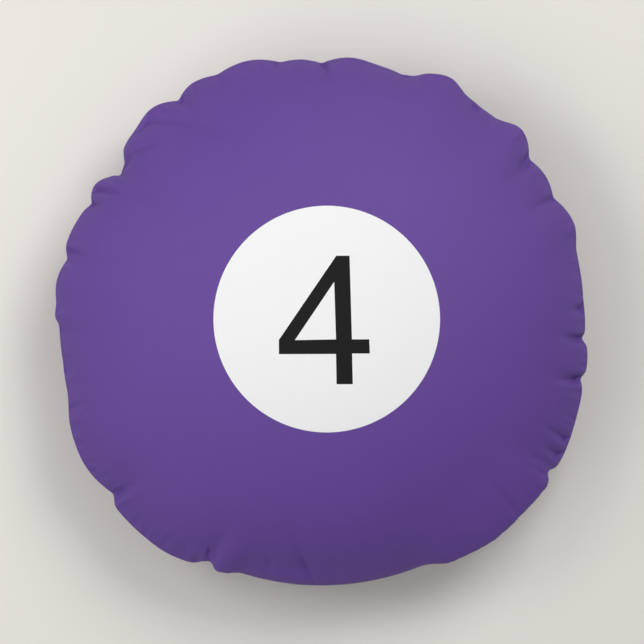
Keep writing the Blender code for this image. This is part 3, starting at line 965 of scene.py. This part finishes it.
def make_tape(skin, name, node, finish):
    """Woven tape: flat beside its coil, turned back at the slit and sewn behind the allowance."""
    bearings = np.arange(ZIP_START, ZIP_END + 1, 1.0)
    flat_radii = (0.1800, 0.1812, 0.1824)
    low = ZIP_GAP + 0.0002
    heights = np.full(len(bearings), low)
    rows = [ring(bearings, radius, heights, skin.side) for radius in flat_radii]
    rows += [skin.at(bearings, inset, TAPE_DEPTH) for inset in (0.0024, 0.0050, 0.0090)]
    across = (0.0, 0.0012, 0.0024, 0.0040, 0.0065, 0.0105)
    strip(name, node, rows, ribbon_coords(bearings, across, COIL_RADIUS), finish, 0.0004)


def make_coil(side, name, node, finish):
    """Nylon monofilament wound into a flattened coil along the tape's edge."""
    length = math.radians(ZIP_END - ZIP_START - 2 * COIL_MARGIN) * COIL_RADIUS
    count = round(length / COIL_PITCH)
    turns = np.arange(count * 14 + 1) / 14
    bearings = ZIP_START + COIL_MARGIN + (ZIP_END - ZIP_START - 2 * COIL_MARGIN) * turns / count
    phase = 2 * np.pi * turns
    radii = COIL_RADIUS + COIL_HALF_WIDTH * np.cos(phase)
    heights = COIL_HEIGHT + COIL_HALF_HEIGHT * np.sin(phase)
    path = ring(bearings, radii, heights, side)
    thread_piece(name, node, [path], COIL_WIRE, around, finish, sides=7)


def softened(name, node, body, finish, width):
    """A cast or pressed metal piece: the CAD shape with its edges rounded over."""
    source = frame["nodes"][node].data
    bm = bmesh.new()
    bm.from_mesh(source)
    bmesh.ops.remove_doubles(bm, verts=bm.verts, dist=0.00002)
    bmesh.ops.dissolve_limit(bm, angle_limit=math.radians(2), verts=bm.verts, edges=bm.edges)
    bm.normal_update()
    mesh = bpy.data.meshes.new(name)
    bm.to_mesh(mesh)
    bm.free()
    mesh.materials.clear()
    mesh.materials.append(finish)
    obj = bpy.data.objects.new(name, mesh)
    SCENE.collection.objects.link(obj)
    bevel = obj.modifiers.new("rounded", "BEVEL")
    bevel.width = width
    bevel.segments = 3
    bevel.limit_method = "ANGLE"
    bevel.angle_limit = math.radians(30)
    bevel.use_clamp_overlap = True
    apply_modifiers(obj)
    obj.data.shade_smooth()
    obj.data.set_sharp_from_angle(angle=math.radians(40))
    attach(obj, body)
    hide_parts(node)
    return obj


def make_zip(front, back):
    tape = woven("zip_tape", THREAD_PURPLE, pitch=0.00035, depth=0.00006, roughness=0.75)
    coil = nylon("zip_coil", THREAD_PURPLE)
    stitching = twisted("tape_thread", THREAD_PURPLE)
    slider = enamel("slider_enamel", THREAD_PURPLE)
    stop = brushed("stop_metal", METAL)
    for side, skin in (("front", front), ("back", back)):
        make_tape(skin, f"{side}_zip_tape_ribbon", f"{side}_zip_tape", tape)
        make_coil(skin.side, f"{side}_zip_coil_winding", f"{side}_zip_coil", coil)
        make_tape_stitches(skin, f"{side}_tape_stitches", f"{side}_tape_stitching", stitching)
        softened(f"{side}_top_stop_crimp", f"{side}_zip_top_stop", "cushion", stop, 0.0002)
    softened("bottom_stop_crimp", "zip_bottom_stop", "cushion", stop, 0.0003)
    softened("slider_casting", "zip_slider", "slider", slider, 0.00018)
    softened("pull_tab_casting", "zip_pull_tab", "pull_tab", slider, 0.0002)


# ---- Inner pad and labels ----


def pad_rim(bearings):
    """The pad's own edge, which gives way where the cover's edge is drawn in."""
    return np.minimum(PAD_RADIUS, edge_radius(bearings) - 0.0125)


def pad_rings(skin, bearings, under, ruffle):
    """Rings of the pad's skin from its middle to its rim, at a depth under the cover's skin."""
    rings = []
    insets = np.linspace(CUT - 0.004, 0.028, 24)
    for inset in insets:
        share = 1 - inset / CUT
        wave = [noise.noise((b * 0.22, inset * 60, under * 900 + skin.side)) for b in bearings]
        depth = under + ruffle * share * (0.5 + 0.5 * np.array(wave))
        rings.append(skin.at(bearings, inset, depth))
    rim = ring(bearings, pad_rim(bearings) - (under - 0.0011), np.full(len(bearings), 0.0004), skin.side)
    out = unit(np.column_stack((rim[:, :2], np.zeros(len(rim)))))
    middle = (rings[-1] + rim) / 2 + out * 0.0022
    last = rings[-1]
    for share in (0.25, 0.5, 0.75):
        rings.append((1 - share) ** 2 * last + 2 * share * (1 - share) * middle + share**2 * rim)
    return rings + [rim]


def disc_faces(rings, count, start=0):
    """Quads between closed rings, numbered from start."""
    faces = []
    for r in range(len(rings) - 1):
        for k in range(count):
            n = (k + 1) % count
            a = start + r * count
            faces.append((a + k, a + count + k, a + count + n, a + n))
    return faces


def make_pad_panel(skin, name, node, finish):
    bearings = np.arange(0, 360, 3.0)
    count = len(bearings)
    rings = pad_rings(skin, bearings, 0.0011, 0.0012)
    rim = rings[-1]
    out = unit(np.column_stack((rim[:, :2], np.zeros(count))))
    fold = rim - out * 0.0012
    allowance = rings[-3] - out * 0.0016
    rings += [fold, allowance]
    middle = skin.at([0.0], [CUT - 0.0001], [0.0011])
    points = np.concatenate(rings + [middle])
    faces = disc_faces(rings, count)
    hub = len(points) - 1
    faces += [(hub, k, (k + 1) % count) for k in range(count)]
    faces = faces if skin.side > 0 else [face[::-1] for face in faces]
    obj = new_object(name, points, faces, [finish], "cushion", [node])
    spread = np.linspace(0.004, CUT, len(rings))
    set_uv(obj, np.concatenate([polar(bearings, r) for r in spread] + [np.zeros((1, 2))]))
    subdivide(obj)
    thicken(obj, 0.0004)


def make_pad_threads(finish):
    pitch = math.degrees(PAD_STITCH_PITCH / PAD_RADIUS)

    def hidden(turns, rise):
        return ring(turns, pad_rim(turns) - PAD_STITCH_INSET + rise, np.zeros(len(turns)), 1)

    long_way = np.arange(122, 360 + 82, pitch)
    paths = stitch_paths(long_way, hidden, 0.0027, 0.0004)
    name = "insert_seam_stitches"
    thread_piece(name, "insert_seam_thread", paths, SEWING_THREAD, upwards, finish)
    turns = np.arange(0, 30 * 12 + 1) / 12
    bearings = 85 + 34 * turns / 30
    phase = 2 * np.pi * turns
    radii = pad_rim(bearings) - 0.0004 + 0.0011 * np.cos(phase)
    path = ring(bearings, radii, 0.0012 * np.sin(phase), 1)
    name = "insert_closing_whipstitch"
    thread_piece(name, "insert_closing_thread", [path], SEWING_THREAD, around, finish)


def make_fill(front, back, finish):
    """The fibre mass: one lumpy closed form inside the pad."""
    bearings = np.arange(0, 360, 3.0)
    count = len(bearings)
    upper = pad_rings(front, bearings, 0.0024, 0.0022)
    lower = pad_rings(back, bearings, 0.0024, 0.0022)
    rings = upper + lower[::-1]
    middles = [front.at([0.0], [CUT - 0.0001], [0.0026]), back.at([0.0], [CUT - 0.0001], [0.0026])]
    points = np.concatenate(rings + middles)
    faces = disc_faces(rings, count)
    hub = len(points) - 2
    last = (len(rings) - 1) * count
    faces += [(hub, k, (k + 1) % count) for k in range(count)]
    faces += [(hub + 1, last + (k + 1) % count, last + k) for k in range(count)]
    obj = new_object("fibre_fill_mass", points, faces, [finish], "cushion", ["fibre_fill"])
    subdivide(obj)


def make_label(skin, name, node, bearings, insets, depths, finish):
    """A blank satin label along the pad, its free end a little lifted."""
    rows = [skin.at(bearings, inset, depth) for inset, depth in zip(insets, depths)]
    across = np.linspace(0, insets[-1] - insets[0], len(rows))
    strip(name, node, rows, ribbon_coords(bearings, across, RADIUS), finish, 0.0003)


# ---- The scene ----


def make_cover_skins():
    rim = circle((0, 0), CUT, RIM_POINTS)
    prints = [circle(DISC_CENTRE, DISC_RADIUS, DISC_POINTS)]
    prints += [stepped(outline, PRINT_STEP) for outline in (NUMERAL, NUMERAL_HOLE)]
    front = Skin(1, [rim, *prints], edge_radius)
    back = Skin(-1, [rim], seam_radius)
    return front, back


def make_cushion():
    front, back = make_cover_skins()
    purple = woven("printed_purple", PURPLE)
    white = woven("printed_white", WHITE, slub_and_shade=0.02, sheen=0.02)
    ink = woven("printed_numeral", INK, slub_and_shade=0.25, sheen=0.0, gloss=0.12)
    plain = woven("plain_purple", PLAIN_PURPLE)
    make_panel("front_panel_cloth", "front_panel", front, [purple, white, ink])
    make_panel("back_panel_cloth", "back_panel", back, [plain])
    make_edge_seam(twisted("seam_thread", THREAD_PURPLE))
    overlock = twisted("overlock_thread", THREAD_PURPLE, 0.0006)
    make_overlock(front, "front_overlock_loops", "front_overlock_thread", overlock)
    make_overlock(back, "back_overlock_loops", "back_overlock_thread", overlock)
    make_zip(front, back)
    pad_cloth = nonwoven("pad_nonwoven", PAD_WHITE)
    make_pad_panel(front, "insert_top_cloth", "insert_top_panel", pad_cloth)
    make_pad_panel(back, "insert_bottom_cloth", "insert_bottom_panel", pad_cloth)
    make_pad_threads(twisted("pad_thread", PAD_WHITE))
    make_fill(front, back, fibres("loose_fibre", PAD_WHITE))
    label = satin("label_satin", PAD_WHITE)
    care = (np.arange(-27, -17.5, 0.75), (0.012, 0.016, 0.021, 0.026), (0.0042, 0.0036, 0.0030, 0.0026))
    make_label(back, "care_label_ribbon", "care_label", *care, label)
    tag = (np.arange(54, 66.5, 0.75), (0.014, 0.018, 0.022, 0.027), (0.0040, 0.0034, 0.0030, 0.0026))
    make_label(front, "insert_label_ribbon", "insert_label", *tag, label)


def make_floor():
    finish = Finish("floor", 0.9)
    tone = finish.noise(3.0, 2.0)
    finish.colour(finish.mix(tone, darker(FLOOR, 0.985), darker(FLOOR, 1.015)))
    mesh = bpy.data.meshes.new("floor")
    reach = 4.0
    corners = [(-reach, -reach, 0), (reach, -reach, 0), (reach, reach, 0), (-reach, reach, 0)]
    mesh.from_pydata(corners, [], [(0, 1, 2, 3)])
    mesh.materials.append(finish.material)
    floor = bpy.data.objects.new("floor", mesh)
    SCENE.collection.objects.link(floor)


def add_softbox(name, place, target, size, power):
    light = bpy.data.lights.new(name, "AREA")
    light.size = size
    light.energy = power
    lamp = bpy.data.objects.new(name, light)
    lamp.location = place
    lamp.rotation_euler = (Vector(target) - Vector(place)).to_track_quat("-Z", "Y").to_euler()
    SCENE.collection.objects.link(lamp)


def make_light():
    world = bpy.data.worlds.new("studio")
    world.use_nodes = True
    background = world.node_tree.nodes["Background"]
    background.inputs["Color"].default_value = (1.0, 1.0, 1.0, 1.0)
    background.inputs["Strength"].default_value = 0.22
    SCENE.world = world
    add_softbox("key", (0.66, 0.95, 1.38), (0, 0, 0.05), 0.9, 15)
    add_softbox("side", (1.12, 0.30, 1.38), (0, 0, 0.05), 1.2, 2)
    add_softbox("fill", (-0.68, 0.18, 0.84), (0, 0, 0.05), 0.5, 3.2)
    add_softbox("low", (-1.04, -0.73, 1.27), (0, 0, 0.05), 1.0, 6)
    add_softbox("over", (0, 0.17, 1.9), (0, 0, 0.05), 2.0, 5)
    SCENE.view_settings.view_transform = "Standard"


def make_camera():
    """Straight above the cushion, as far as its crown and rim show in a long lens."""
    camera = bpy.data.cameras.new("camera")
    camera.lens = 142.9
    eye = bpy.data.objects.new("camera", camera)
    eye.location = (0.00035, -0.0007, SEAM + 1.8)
    SCENE.collection.objects.link(eye)
    SCENE.camera = eye


make_camera()
make_cushion()
make_floor()
make_light()
